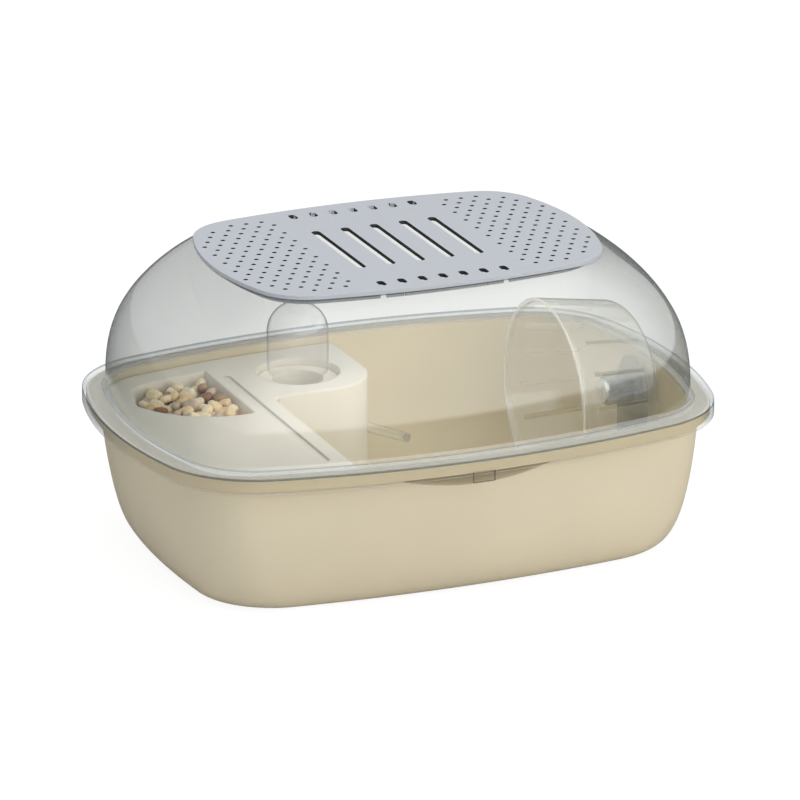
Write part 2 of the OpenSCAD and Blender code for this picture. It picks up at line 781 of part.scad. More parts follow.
module spout_elbow() {
    seal_r = nozzle_diameter / 2 + ring_thickness + 2 * ring_gap;
    low = turn_z - elbow_r;
    color([0.90, 0.90, 0.88])
    difference() {
        union() {
            intersection() {
                tube_axis() translate([0, 0, -elbow_run])
                    cylinder(h = elbow_run - tube_inner + elbow_grip, r = elbow_r);
                translate([-tub_half_length, 0, 0]) cube([2 * tub_half_length, tub_half_width, socket_under]);
            }
            translate([bottle_centre.x, bottle_centre.y, low])
                cylinder(h = socket_under - low, r = seal_r + nozzle_wall);
        }
        translate([bottle_centre.x, bottle_centre.y, 0]) {
            translate([0, 0, socket_under - ring_thickness]) cylinder(h = ring_thickness + 1, r = seal_r);
            translate([0, 0, deck_height - socket_depth - nozzle_length - socket_gap])
                cylinder(h = nozzle_length, r = nozzle_diameter / 2 + ring_gap);
        }
        tube_axis() {
            translate([0, 0, -elbow_run]) cylinder(h = elbow_run, r = tube_diameter / 2 - tube_wall);
            translate([0, 0, -tube_inner]) cylinder(h = tube_inner, r = tube_diameter / 2 + 0.05);
        }
    }
}

module spout_seal() {
    middle = nozzle_diameter / 2 + ring_gap + ring_thickness / 2;
    color([0.30, 0.30, 0.30])
    translate([bottle_centre.x, bottle_centre.y, socket_under - ring_thickness / 2]) rotate_extrude()
        translate([middle, 0]) circle(d = ring_thickness - ring_gap / 2, $fn = 24);
}

module drinking_tube() {
    outer = tube_diameter / 2;
    color([0.85, 0.90, 0.92, 0.4])
    tube_axis() difference() {
        translate([0, 0, -tube_inner]) cylinder(h = tube_inner + tube_reach, r = outer);
        translate([0, 0, -tube_inner - 1]) cylinder(h = tube_inner + 1 + tube_reach - tip_lip, r = outer - tube_wall);
        translate([0, 0, tube_reach - tip_lip - 1]) cylinder(h = tip_lip + 2, r = tip_r);
    }
}
tip_r = ball_diameter / 2 - 0.35;

module tube_grommet() {
    color([0.80, 0.80, 0.78])
    difference() {
        grommet_place() {
            cylinder(h = deck_wall, r = grommet_neck_r - 0.03, center = true);
            for (side = [-1, 1]) translate([0, 0, side * (deck_wall + grommet_flange) / 2])
                cylinder(h = grommet_flange, r = grommet_flange_r, center = true);
        }
        tube_axis() translate([0, 0, -2 * grommet_flange_r])
            cylinder(h = 4 * grommet_flange_r, r = tube_diameter / 2 + 0.05);
    }
}

module valve_ball() {
    seat = sqrt(pow(ball_diameter / 2, 2) - pow(tip_r, 2));
    color([0.85, 0.87, 0.88])
    tube_axis() translate([0, 0, tube_reach - tip_lip - seat - 0.1]) sphere(d = ball_diameter, $fn = 32);
}

wheel_back_x = wheel_mouth_x + wheel_depth;
stand_x = wheel_back_x + stand_gap;
bush_r = axle_diameter / 2 + axle_clearance + bush_wall;

// Puts children on the wheel's axis, with +Z along +X and zero at the drum's mouth.
module on_axle() {
    translate([wheel_mouth_x, wheel_y, wheel_height]) rotate([0, 90, 0]) children();
}

// Half section of the drum's outside, moved in by a distance.
module drum_half(by) {
    back = wheel_depth - by;
    r = wheel_back_radius - by;
    round_r = wheel_fillet - by;
    slope = (wheel_radius - wheel_back_radius) / (wheel_depth - wheel_fillet);
    polygon([
        [0, by > 0 ? -1 : 0],
        [wheel_radius - by + (by > 0 ? slope : 0), by > 0 ? -1 : 0],
        [r, back - round_r],
        for (i = [1:8]) [r - round_r + round_r * cos(i * 90 / 8), back - round_r + round_r * sin(i * 90 / 8)],
        [0, back]
    ]);
}

module wheel_drum() {
    color([0.85, 0.90, 0.92, 0.4])
    on_axle() difference() {
        union() {
            rotate_extrude($fn = 96) difference() {
                drum_half(0);
                drum_half(wheel_wall);
            }
            translate([0, 0, wheel_depth - hub_length]) cylinder(h = hub_length, r = hub_diameter / 2);
        }
        translate([0, 0, wheel_depth - hub_length - 1]) cylinder(h = hub_length + 2, r = bush_r);
        for (i = [0:traction_slots - 1]) rotate(i * 360 / traction_slots + 80)
            translate([wheel_back_radius - 2 * wheel_wall, -traction_width / 2, traction_from])
                cube([wheel_radius - wheel_back_radius + 3 * wheel_wall, traction_width, traction_length]);
    }
}

module wheel_bush() {
    color([0.95, 0.95, 0.93])
    on_axle() difference() {
        union() {
            translate([0, 0, wheel_depth - hub_length]) cylinder(h = hub_length + bush_flange + 0.1, r = bush_r - 0.03);
            translate([0, 0, wheel_depth + 0.1]) cylinder(h = bush_flange, r = bush_r + 2);
        }
        translate([0, 0, wheel_depth - hub_length - 1])
            cylinder(h = hub_length + bush_flange + 3, r = axle_diameter / 2 + axle_clearance);
    }
}

module wheel_axle() {
    head_at = wheel_depth - hub_length - 0.3;
    end_at = wheel_depth + stand_gap + boss_length + clip_thickness + 0.6;
    color([0.70, 0.71, 0.73])
    on_axle() {
        translate([0, 0, head_at]) cylinder(h = end_at - head_at, r = axle_diameter / 2);
        translate([0, 0, head_at - head_thickness]) cylinder(h = head_thickness, r = axle_head / 2);
    }
}

module axle_clip() {
    color([0.70, 0.71, 0.73])
    on_axle() translate([0, 0, wheel_depth + stand_gap + boss_length + 0.1]) difference() {
        cylinder(h = clip_thickness, r = axle_head / 2);
        translate([0, 0, -1]) cylinder(h = clip_thickness + 2, r = axle_diameter / 2 + 0.02);
    }
}

// The stand: an upright behind the drum that turns forwards into a foot under it.
module wheel_stand() {
    outer_x = stand_x + stand_wall;
    bend_x = outer_x - stand_bend;
    bend_z = tub_wall + stand_bend;
    color([0.85, 0.90, 0.92, 0.5])
    difference() {
        union() {
            translate([stand_x, wheel_y, wheel_height]) rotate([0, 90, 0]) {
                cylinder(h = stand_wall, r = stand_width / 2);
                cylinder(h = boss_length, r = axle_head / 2 + 2);
            }
            translate([stand_x, wheel_y - stand_width / 2, bend_z])
                cube([stand_wall, stand_width, wheel_height - bend_z]);
            translate([bend_x, wheel_y + stand_width / 2, bend_z]) rotate([90, 0, 0]) rotate([0, 0, -90])
                rotate_extrude(angle = 90) translate([stand_bend - stand_wall, 0]) square([stand_wall, stand_width]);
            translate([bend_x - foot_length, 0, tub_wall]) {
                translate([0, wheel_y - stand_width / 2, 0]) cube([foot_length, stand_width, stand_wall]);
                translate([foot_width / 4, wheel_y, 0]) stand_foot();
            }
        }
        translate([stand_x - 1, wheel_y, wheel_height]) rotate([0, 90, 0])
            cylinder(h = boss_length + 2, r = axle_diameter / 2 + 0.03);
    }
}

// The wide end of the foot, with round corners.
module stand_foot() {
    linear_extrude(stand_wall) {
        for (side = [-1, 1]) translate([0, side * foot_width / 4]) circle(d = foot_width / 2);
        square([foot_width / 2, foot_width / 2], center = true);
    }
}

tub_shell();
feeder_tray();
feed_mix();
water_bottle();
bottle_cap();
cap_seal();
spout_elbow();
spout_seal();
drinking_tube();
tube_grommet();
valve_ball();
wheel_stand();
wheel_axle();
axle_clip();
wheel_drum();
wheel_bush();
dome_cover();
cover_skirt();
vent_lid();
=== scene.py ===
import math
import random

import bmesh
import bpy
from mathutils import Matrix, Vector, noise


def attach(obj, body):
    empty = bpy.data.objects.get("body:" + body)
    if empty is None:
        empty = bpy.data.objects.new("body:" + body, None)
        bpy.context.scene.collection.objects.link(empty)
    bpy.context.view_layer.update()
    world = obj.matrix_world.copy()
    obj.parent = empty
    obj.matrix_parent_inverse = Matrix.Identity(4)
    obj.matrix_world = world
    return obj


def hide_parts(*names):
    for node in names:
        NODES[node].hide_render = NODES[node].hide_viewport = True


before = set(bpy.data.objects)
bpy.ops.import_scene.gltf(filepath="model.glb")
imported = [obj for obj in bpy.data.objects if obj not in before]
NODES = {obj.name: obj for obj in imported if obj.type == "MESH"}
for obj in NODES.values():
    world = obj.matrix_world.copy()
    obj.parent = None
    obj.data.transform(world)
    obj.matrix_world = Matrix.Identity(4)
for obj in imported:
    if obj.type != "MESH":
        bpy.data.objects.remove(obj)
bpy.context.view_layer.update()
MM = 0.001
scene = bpy.context.scene


# ---------------------------------------------------------------- camera
CAM_AT = Vector((-1085.87, -2642.42, 1054.77)) * MM
CAM_BACK = Vector((-0.35996, -0.87461, 0.32478))
camera_data = bpy.data.cameras.new("camera")
camera_data.sensor_width = 36
camera_data.lens = 259.19
camera_data.clip_start, camera_data.clip_end = 0.05, 60
camera = bpy.data.objects.new("camera", camera_data)
camera.location = CAM_AT
camera.rotation_mode = "QUATERNION"
camera.rotation_quaternion = (-CAM_BACK).to_track_quat("-Z", "Y")
scene.collection.objects.link(camera)
scene.camera = camera


# ---------------------------------------------------------------- sizes, in millimetres
FLANGE = [160.0, 117.5, 28.1, 26.0, 54.5]
TUB = [150.6, 108.0, 24.5, 23.4, 34.0]
FLOOR = [126.6, 86.7, 4.3, 9.9, 43.0]
CROWN = [104.3, 73.6, 20.2, 12.4, 36.0]
TUB_H, TUB_WALL, LIP_T, LIP_DROP = 77.8, 2.4, 2.4, 6.0
DOME_WALL, FLANGE_W, SKIRT_H, SKIRT_GAP = 2.0, 12.2, 8.7, 0.6
DOME_RISE, LEDGE = 78.7, 5.0
FLANGE_TOP = TUB_H + DOME_WALL
SKIRT_Z = FLANGE_TOP - SKIRT_H
CROWN_Z = FLANGE_TOP + DOME_RISE
DECK_Z = 73.0
SCOOP_R, SCOOP_DEPTH, SCOOP_DROP = 500.0, 4.7, 7.7


def arc_radius(half_chord, bow):
    return (half_chord * half_chord + bow * bow) / (2 * bow)


def arc_bow(half_chord, radius):
    return radius - math.sqrt(radius * radius - half_chord * half_chord)


def inset(plan, by):
    """The outline that lies a distance inside another."""
    return [
        plan[0] - by,
        plan[1] - by,
        arc_bow(plan[1] - by, arc_radius(plan[1], plan[2]) - by),
        arc_bow(plan[0] - by, arc_radius(plan[0], plan[3]) - by),
        plan[4] - by,
    ]


def mixed(a, b, ends, sides):
    both = (ends + sides) / 2
    shares = (ends, sides, both, both, both)
    return [p + (q - p) * s for p, q, s in zip(a, b, shares)]


def tub_plan(down):
    return mixed(TUB, FLOOR, 1 - (1 - down ** 1.2) ** (1 / 2.4), 1 - (1 - down ** 2.5) ** (1 / 1.8))


FOOT = inset(FLANGE, FLANGE_W)


def dome_plan(up):
    return mixed(CROWN, FOOT, 1 - up ** 3.1, (1 - up ** 1.6) ** (1 / 1.5))


END_STEPS, CORNER_STEPS, SIDE_STEPS = 14, 18, 36


def outline(plan):
    """Points of a rounded rectangle with bowed sides, from three tangent arcs a quarter."""
    a, b, bow_end, bow_side, corner = plan
    end_r, side_r = arc_radius(b, bow_end), arc_radius(a, bow_side)
    end_c, side_c = a - end_r, b - side_r
    er, sr = end_r - corner, side_r - corner
    gap = math.hypot(end_c, side_c)
    ax, ay = end_c / gap, -side_c / gap
    run = (sr * sr - er * er + gap * gap) / (2 * gap)
    off = math.sqrt(max(0.0, sr * sr - run * run))
    fx, fy = run * ax, side_c + run * ay
    options = [(fx + off * ay, fy - off * ax), (fx - off * ay, fy + off * ax)]
    cx, cy = max(options, key=lambda p: p[0] + p[1])
    a1 = math.atan2(cy, cx - end_c)
    a2 = math.atan2(cy - side_c, cx)
    quarter = [(a, 0.0)]
    for centre, radius, start, stop, steps in (
        ((end_c, 0), end_r, 0.0, a1, END_STEPS),
        ((cx, cy), corner, a1, a2, CORNER_STEPS),
        ((0, side_c), side_r, a2, math.pi / 2, SIDE_STEPS),
    ):
        for i in range(1, steps + 1):
            t = start + (stop - start) * i / steps
            quarter.append((centre[0] + radius * math.cos(t), centre[1] + radius * math.sin(t)))
    n = len(quarter) - 1
    return (
        quarter[:n]
        + [(-x, y) for x, y in quarter[n:0:-1]]
        + [(-x, -y) for x, y in quarter[:n]]
        + [(x, -y) for x, y in quarter[n:0:-1]]
    )


def ring(plan, z):
    return [Vector((x, y, z)) for x, y in outline(plan)]


def shrunk(points, share):
    return [Vector((p.x * share, p.y * share, p.z)) for p in points]


def new_object(name, mesh, body, material):
    obj = bpy.data.objects.new(name, mesh)
    scene.collection.objects.link(obj)
    for m in material if isinstance(material, list) else [material]:
        mesh.materials.append(m)
    if body:
        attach(obj, body)
    return obj


def smooth(mesh, angle=35):
    mesh.polygons.foreach_set("use_smooth", [True] * len(mesh.polygons))
    mesh.set_sharp_from_angle(angle=math.radians(angle))
    mesh.update()


def skin(name, rings, loop=False, cap_ends=False):
    """A mesh through rings of as many points each, in millimetres."""
    bm = bmesh.new()
    rows = [[bm.verts.new(p * MM) for p in r] for r in rings]
    n = len(rows[0])
    pairs = list(zip(rows, rows[1:])) + ([(rows[-1], rows[0])] if loop else [])
    for low, high in pairs:
        for i in range(n):
            j = (i + 1) % n
            bm.faces.new((low[i], low[j], high[j], high[i]))
    if cap_ends:
        for row, points in ((rows[0], rings[0]), (rows[-1], rings[-1])):
            centre = bm.verts.new(Vector((0, 0, points[0].z)) * MM)
            for i in range(n):
                bm.faces.new((row[i], row[(i + 1) % n], centre))
    bmesh.ops.recalc_face_normals(bm, faces=bm.faces)
    mesh = bpy.data.meshes.new(name)
    bm.to_mesh(mesh)
    bm.free()
    smooth(mesh)
    return mesh


# ---------------------------------------------------------------- materials
class Nodes:
    """A short way to make and join shader nodes."""

    def __init__(self, name):
        self.material = bpy.data.materials.new(name)
        self.material.use_nodes = True
        self.tree = self.material.node_tree
        self.tree.nodes.clear()
        self.out = self.add("ShaderNodeOutputMaterial")

    def add(self, kind, **inputs):
        node = self.tree.nodes.new(kind)
        for key, value in inputs.items():
            self.set(node, key.replace("_", " "), value)
        return node

    def set(self, node, key, value):
        socket = node.inputs[int(key)] if key.isdigit() else node.inputs[key]
        if isinstance(value, bpy.types.NodeSocket):
            self.tree.links.new(value, socket)
        else:
            socket.default_value = value

    def coords(self, scale=1.0):
        place = self.add("ShaderNodeTexCoord").outputs["Object"]
        mapping = self.add("ShaderNodeMapping", Vector=place)
        mapping.inputs["Scale"].default_value = (scale, scale, scale)
        return mapping.outputs["Vector"]

    def noise(self, scale, detail=3.0, rough=0.5):
        where = self.coords()
        node = self.add("ShaderNodeTexNoise", Vector=where, Scale=scale, Detail=detail, Roughness=rough)
        return node.outputs["Fac"]

    def ramp(self, fac, low, high, start=0.3, stop=0.7):
        node = self.add("ShaderNodeValToRGB", Fac=fac)
        first, last = node.color_ramp.elements
        first.position, last.position = start, stop
        first.color, last.color = [(*c, 1) if len(c) == 3 else c for c in (low, high)]
        return node.outputs["Color"]

    def ranged(self, value, low, high, start=0.3, stop=0.7):
        node = self.add("ShaderNodeMapRange")
        for key, number in (("From Min", start), ("From Max", stop), ("To Min", low), ("To Max", high)):
            node.inputs[key].default_value = number
        self.set(node, "Value", value)
        return node.outputs["Result"]

    def math(self, operation, value, number):
        node = self.add("ShaderNodeMath", **{"0": value})
        node.operation = operation
        self.set(node, "1", number)
        return node.outputs[0]

    def bump(self, height, strength, distance):
        node = self.add("ShaderNodeBump", Height=height)
        node.inputs["Strength"].default_value = strength
        node.inputs["Distance"].default_value = distance
        return node.outputs["Normal"]


def shade(color, by):
    return tuple(max(0.0, min(1.0, c * by)) for c in color)


def plastic(name, color, rough=0.35, grain=900.0, bump=0.12, spread=0.03, sub=0.0, edge=0.0, scoop=None):
    """Moulded plastic: faint flow marks in the colour, a fine grain in gloss and relief, soft edges, and
    where a scoop colour is given, painted shade on the finger scoop.
    """
    n = Nodes(name)
    base = n.ramp(n.noise(14.0, 2.0), shade(color, 1 - spread), shade(color, 1 + spread))
    # The scoop colour is painted shade on the finger scoop's face.
    if scoop:
        mix = n.add("ShaderNodeMix", **{"0": scoop_shade_mask(n)})
        mix.data_type = "RGBA"
        n.tree.links.new(base, mix.inputs[6])
        mix.inputs[7].default_value = (*scoop, 1)
        base = mix.outputs[2]
    roughness = n.ranged(n.noise(grain / 3, 3.0), rough - 0.05, rough + 0.06)
    normal = n.bump(n.noise(grain, 3.0, 0.6), bump, 0.0002)
    if edge:
        soft = n.add("ShaderNodeBevel")
        soft.samples = 6
        soft.inputs["Radius"].default_value = edge * MM
        n.tree.links.new(soft.outputs["Normal"], normal.node.inputs["Normal"])
    p = n.add("ShaderNodeBsdfPrincipled", Base_Color=base, Roughness=roughness, Normal=normal)
    p.inputs["Specular IOR Level"].default_value = 0.5
    if sub:
        p.inputs["Subsurface Weight"].default_value = sub
        p.inputs["Subsurface Radius"].default_value = (1.0, 0.8, 0.6)
        p.inputs["Subsurface Scale"].default_value = 0.004
    n.set(n.out, "Surface", p.outputs["BSDF"])
    return n.material


def scoop_shade_mask(n):
    """One on the finger scoop's face, where the scoop colour paints the shade that falls there, and nought
    round it.
    """
    place = n.add("ShaderNodeTexCoord").outputs["Object"]
    split = n.add("ShaderNodeSeparateXYZ", Vector=place).outputs
    x, z = split["X"], split["Z"]
    y = n.math("ADD", split["Y"], (TUB[1] + SCOOP_R - SCOOP_DEPTH) * MM)
    away = n.math("SQRT", n.math("ADD", n.math("MULTIPLY", x, x), n.math("MULTIPLY", y, y)), 0.0)
    low = (SKIRT_Z - SCOOP_DROP) * MM
    cut = n.ranged(z, (SCOOP_R - SCOOP_DEPTH) * MM, SCOOP_R * MM, low, SKIRT_Z * MM)
    near = n.ranged(n.math("ABSOLUTE", n.math("SUBTRACT", away, cut), 0.0), 1.0, 0.0, 0.00008, 0.00022)
    below = n.math("LESS_THAN", z, SKIRT_Z * MM)
    return n.math("MULTIPLY", n.math("MULTIPLY", near, n.math("GREATER_THAN", z, low + 0.00005)), below)


def clear(name, tint, slant, edge, gloss=(0.86, 0.88, 0.92), haze=0.0, gain=1.0, metallic=0.8, rough=0.03):
    """Clear moulded plastic: its gloss grows towards its edges, where its wall looks deeper."""
    n = Nodes(name)
    facing = n.add("ShaderNodeLayerWeight")
    facing.inputs["Blend"].default_value = 0.5
    power = n.math("POWER", facing.outputs["Facing"], 5.0)
    grown = n.math("MULTIPLY", power, 0.96)
    gained = n.math("ADD", grown, 0.04 * gain)
    total = n.math("ADD", gained, n.ranged(n.noise(30.0, 2.0), haze * 0.8, haze * 1.2))
    total.node.use_clamp = True
    through = n.add("ShaderNodeValToRGB", Fac=facing.outputs["Facing"])
    steps = through.color_ramp.elements
    steps.new(0.6)
    for step, at, color in zip(steps, (0.0, 0.6, 1.0), (tint, slant, edge)):
        step.position = at
        step.color = (*color, 1)
    see = n.add("ShaderNodeBsdfTransparent", Color=through.outputs["Color"])
    roughness = n.ranged(n.noise(60.0, 2.0), rough * 0.7, rough * 1.4)
    base = n.ramp(n.noise(18.0, 2.0), shade(gloss, 0.97), shade(gloss, 1.03))
    p = n.add("ShaderNodeBsdfPrincipled", Base_Color=base, Roughness=roughness)
    p.inputs["Metallic"].default_value = metallic
    mix = n.add("ShaderNodeMixShader", Fac=total)
    n.tree.links.new(see.outputs[0], mix.inputs[1])
    n.tree.links.new(p.outputs["BSDF"], mix.inputs[2])
    n.set(n.out, "Surface", mix.outputs[0])
    return n.material


def metal(name, color, rough):
    n = Nodes(name)
    base = n.ramp(n.noise(40.0, 2.0), shade(color, 0.95), shade(color, 1.05))
    roughness = n.ranged(n.noise(400.0, 3.0), rough - 0.06, rough + 0.08)
    normal = n.bump(n.noise(1500.0, 2.0), 0.1, 0.0001)
    p = n.add("ShaderNodeBsdfPrincipled", Base_Color=base, Roughness=roughness, Normal=normal)
    p.inputs["Metallic"].default_value = 1.0
    n.set(n.out, "Surface", p.outputs["BSDF"])
    return n.material


def feed_material():
    """Dry feed: each piece has a colour of its own, with baked mottling and a rough skin."""
    n = Nodes("feed_pieces")
    island = n.add("ShaderNodeNewGeometry").outputs["Random Per Island"]
    ramp = n.add("ShaderNodeValToRGB", Fac=island)
    ramp.color_ramp.interpolation = "CONSTANT"
    colors = [
        (0.00, (0.88, 0.70, 0.43)), (0.24, (0.93, 0.81, 0.58)), (0.46, (0.82, 0.60, 0.35)),
        (0.56, (0.30, 0.15, 0.08)), (0.65, (0.95, 0.84, 0.64)), (0.80, (0.46, 0.30, 0.20)),
        (0.88, (0.62, 0.50, 0.40)),
    ]
    elements = ramp.color_ramp.elements
    while len(elements) < len(colors):
        elements.new(0.5)
    for element, (at, color) in zip(elements, colors):
        element.position = at
        element.color = (*color, 1)
    mottle = n.ramp(n.noise(420.0, 4.0, 0.6), (0.80, 0.78, 0.74), (1.06, 1.04, 1.0), 0.35, 0.65)
    mix = n.add("ShaderNodeMix")
    mix.data_type = "RGBA"
    mix.blend_type = "MULTIPLY"
    mix.inputs[0].default_value = 0.8
    n.tree.links.new(ramp.outputs["Color"], mix.inputs[6])
    n.tree.links.new(mottle, mix.inputs[7])
    normal = n.bump(n.noise(1100.0, 4.0, 0.65), 0.5, 0.0003)
    roughness = n.ranged(n.noise(500.0, 2.0), 0.55, 0.8)
    p = n.add("ShaderNodeBsdfPrincipled", Base_Color=mix.outputs[2], Roughness=roughness, Normal=normal)
    n.set(n.out, "Surface", p.outputs["BSDF"])
    return n.material


# The tub's darker scoop colour is painted shade in the finger scoop.
TUB_MAT = plastic("tub_beige", (0.70, 0.62, 0.45), rough=0.38, sub=0.1, scoop=(0.38, 0.32, 0.21))
TRAY_MAT = plastic("feeder_offwhite", (0.80, 0.76, 0.66), rough=0.42, sub=0.1, edge=1.8)
LID_MAT = plastic("lid_bluegrey", (0.525, 0.55, 0.585), rough=0.34, grain=1600.0, bump=0.03,
                  spread=0.006, edge=0.5)
# Near black for the sides of the lid's holes and slots: painted shade.
VENT_SHADE_MAT = plastic("lid_vent_painted_shade", (0.020, 0.022, 0.026), rough=0.6, grain=1600.0)
CAP_MAT = plastic("cap_beige", (0.92, 0.87, 0.75), rough=0.40)
SEAL_MAT = plastic("soft_seal", (0.50, 0.49, 0.46), rough=0.6, grain=1500.0)
STEEL_MAT = metal("steel_axle", (0.62, 0.62, 0.64), 0.28)
FEED_MAT = feed_material()
FEED_BED_MAT = plastic("feed_dust", (0.36, 0.24, 0.13), rough=0.8, grain=500.0, bump=0.6, spread=0.2)
DOME_MAT = clear("dome_clear", (0.90, 0.905, 0.90), (0.67, 0.685, 0.675), (0.53, 0.55, 0.55),
                 gloss=(0.88, 0.885, 0.87), gain=1.9)
RIM_MAT = clear("rim_clear", (0.985, 0.99, 0.99), (0.97, 0.975, 0.98), (0.84, 0.87, 0.90),
                gloss=(0.90, 0.94, 0.97), haze=0.10, metallic=0.1, rough=0.12)
# The skirt's faint warm tint is partly the plastic's own and partly painted shade on the lip seen through it.
SKIRT_MAT = clear("skirt_clear", (0.985, 0.975, 0.95), (0.96, 0.95, 0.925), (0.70, 0.71, 0.70))
# A dark clear colour for the flange's upper outer band and the catch tabs' sides and undersides: painted
# shade.
RIM_EDGE_SHADE_MAT = clear("rim_edge_painted_shade", (0.34, 0.38, 0.39), (0.40, 0.44, 0.45), (0.40, 0.45, 0.48), haze=0.02)
WHEEL_MAT = clear("wheel_clear", (0.965, 0.965, 0.955), (0.90, 0.905, 0.885), (0.50, 0.52, 0.49),
                  gloss=(0.90, 0.90, 0.86), haze=0.06, gain=1.9, metallic=0.4, rough=0.05)
WHEEL_RIM_MAT = clear("wheel_rim", (0.95, 0.95, 0.94), (0.90, 0.90, 0.885), (0.70, 0.71, 0.68),
                      gloss=(0.93, 0.93, 0.90), haze=0.35, metallic=0.0, rough=0.3)
STAND_MAT = clear("stand_clear", (0.80, 0.83, 0.79), (0.70, 0.73, 0.69), (0.45, 0.48, 0.45),
                  gloss=(0.45, 0.48, 0.45), haze=0.05, metallic=0.2, rough=0.12)
BOTTLE_MAT = clear("bottle_clear", (0.98, 0.98, 0.98), (0.95, 0.95, 0.955), (0.42, 0.43, 0.45),
                   haze=0.01, gain=1.9)
NECK_MAT = clear("bottle_neck", (0.99, 0.985, 0.97), (0.97, 0.965, 0.95), (0.85, 0.84, 0.82), haze=0.01)
TUBE_MAT = clear("tube_clear", (0.97, 0.97, 0.97), (0.93, 0.93, 0.925), (0.35, 0.35, 0.34),
                 gain=1.9, metallic=0.6)
BALL_MAT = clear("ball_glass", (0.85, 0.86, 0.88), (0.8, 0.8, 0.82), (0.5, 0.5, 0.52),
                 haze=0.10, metallic=0.6)

for node, material in {
    "feeder_tray": TRAY_MAT, "water_bottle": BOTTLE_MAT, "bottle_cap": CAP_MAT, "cap_seal": SEAL_MAT,
    "spout_elbow": CAP_MAT, "spout_seal": SEAL_MAT, "drinking_tube": TUBE_MAT, "tube_grommet": SEAL_MAT,
    "valve_ball": BALL_MAT, "wheel_stand": STAND_MAT, "wheel_axle": STEEL_MAT, "axle_clip": STEEL_MAT,
    "wheel_drum": WHEEL_MAT, "wheel_bush": STAND_MAT, "vent_lid": LID_MAT, "tub_shell": TUB_MAT,
    "dome_cover": DOME_MAT, "cover_skirt": SKIRT_MAT, "feed_mix": FEED_MAT,
}.items():
    mesh = NODES[node].data
    mesh.materials.clear()
    mesh.materials.append(material)
    smooth(mesh, 30)

LID_END_MARGIN, LID_SIDE_OVERHANG, LID_EDGE = 1.1, 1.4, 2.5
LID_PLAN = [CROWN[0] - LID_END_MARGIN, CROWN[1] + LID_SIDE_OVERHANG] + CROWN[2:]


def paint_vent_shade():
    """Gives the sides of the lid's holes and slots a near black: painted shade."""
    mesh = NODES["vent_lid"].data
    mesh.materials.append(VENT_SHADE_MAT)
    for face in mesh.polygons:
        x, y, z = face.center / MM
        upright = abs(face.normal.z) < 0.5 and z > CROWN_Z
        if upright and abs(y) < LID_PLAN[1] - 2 * LID_EDGE and abs(x) < 97:
            face.material_index = int(inside_outline(x, y, inset(LID_PLAN, LID_EDGE)))


def inside_outline(x, y, plan):
    points = outline(plan)
    inside = False
    for (x1, y1), (x2, y2) in zip(points, points[1:] + points[:1]):
        if (y1 > y) != (y2 > y) and x < (x2 - x1) * (y - y1) / (y2 - y1) + x1:
            inside = not inside
    return inside


paint_vent_shade()


# ---------------------------------------------------------------- tub
def rounded(plan_of, z_of, radius, start, stop, steps=4):
    """Rings round an edge: plan_of and z_of take the distances from the edge's corner."""
    rows = []
    for i in range(steps + 1):
        t = math.radians(start + (stop - start) * i / steps)
        rows.append(ring(plan_of(radius * (1 - math.cos(t))), z_of(radius * (1 - math.sin(t)))))
    return rows


def scooped(points, extra=0.0):
    """Moves a ring of the wall in where the finger scoop is."""
    z = points[0].z
    low = SKIRT_Z - SCOOP_DROP - extra
    if z < low or z > TUB_H - LIP_T:
        return points
    share = min(1.0, (z - low) / (SCOOP_DROP + extra))
    radius = SCOOP_R - SCOOP_DEPTH + (SCOOP_DEPTH + extra) * share
    centre = -TUB[1] - SCOOP_R + SCOOP_DEPTH
    moved = []
    for p in points:
        if p.y < 0 and abs(p.x) < radius:
            moved.append(Vector((p.x, max(p.y, centre + math.sqrt(radius * radius - p.x * p.x)), z)))
        else:
            moved.append(p)
    return moved


def tub_rings():
    rows = []
    steps = 30
    shares = [math.cos(math.radians(90) * i / steps) for i in range(steps + 1)]
    bottom = ring(FLOOR, 0.0)
    rows += [shrunk(bottom, s) for s in (0.3, 0.65, 0.94)]
    outer = [(tub_plan(s), SKIRT_Z * (1 - s)) for s in shares]
    low = SKIRT_Z - SCOOP_DROP
    for (plan, z), (plan2, z2) in zip(outer, outer[1:]):
        rows.append(ring(plan, z))
        if z2 > low - 3:
            for k in range(1, 8):
                f = k / 8
                rows.append(ring([a + (b - a) * f for a, b in zip(plan, plan2)], z + (z2 - z) * f))
    rows.append(ring(TUB, SKIRT_Z))
    rows.append(ring(TUB, TUB_H - LIP_T))
    rows = [scooped(r) for r in rows]
    lip = inset(FLANGE, DOME_WALL + SKIRT_GAP)
    rows.append(ring(inset(lip, LIP_T), TUB_H - LIP_T))
    rows.append(ring(inset(lip, LIP_T), TUB_H - LIP_DROP))
    rows.append(ring(lip, TUB_H - LIP_DROP))
    rows += rounded(lambda d: inset(lip, d), lambda d: TUB_H - d, 1.0, 0, 90)
    inner = inset(TUB, TUB_WALL)
    rows += rounded(lambda d: inset(inner, -d), lambda d: TUB_H - d, 0.8, 90, 0)
    inside = []
    for s in reversed(shares):
        z = TUB_WALL + (SKIRT_Z - TUB_WALL) * (1 - s)
        inside.append(scooped(ring(inset(tub_plan(s), TUB_WALL), z), TUB_WALL))
    rows += inside
    rows += [shrunk(inside[-1], s) for s in (0.94, 0.65, 0.3)]
    return rows


tub = new_object("tub", skin("tub", tub_rings(), cap_ends=True), "base", TUB_MAT)
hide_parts("tub_shell")


# ---------------------------------------------------------------- dome
FOOT_ROUND, EDGE_BAND = 2.0, 1.5
CATCH_W, CATCH_INSET, CATCH_DROP = 12.0, 0.3, 4.2


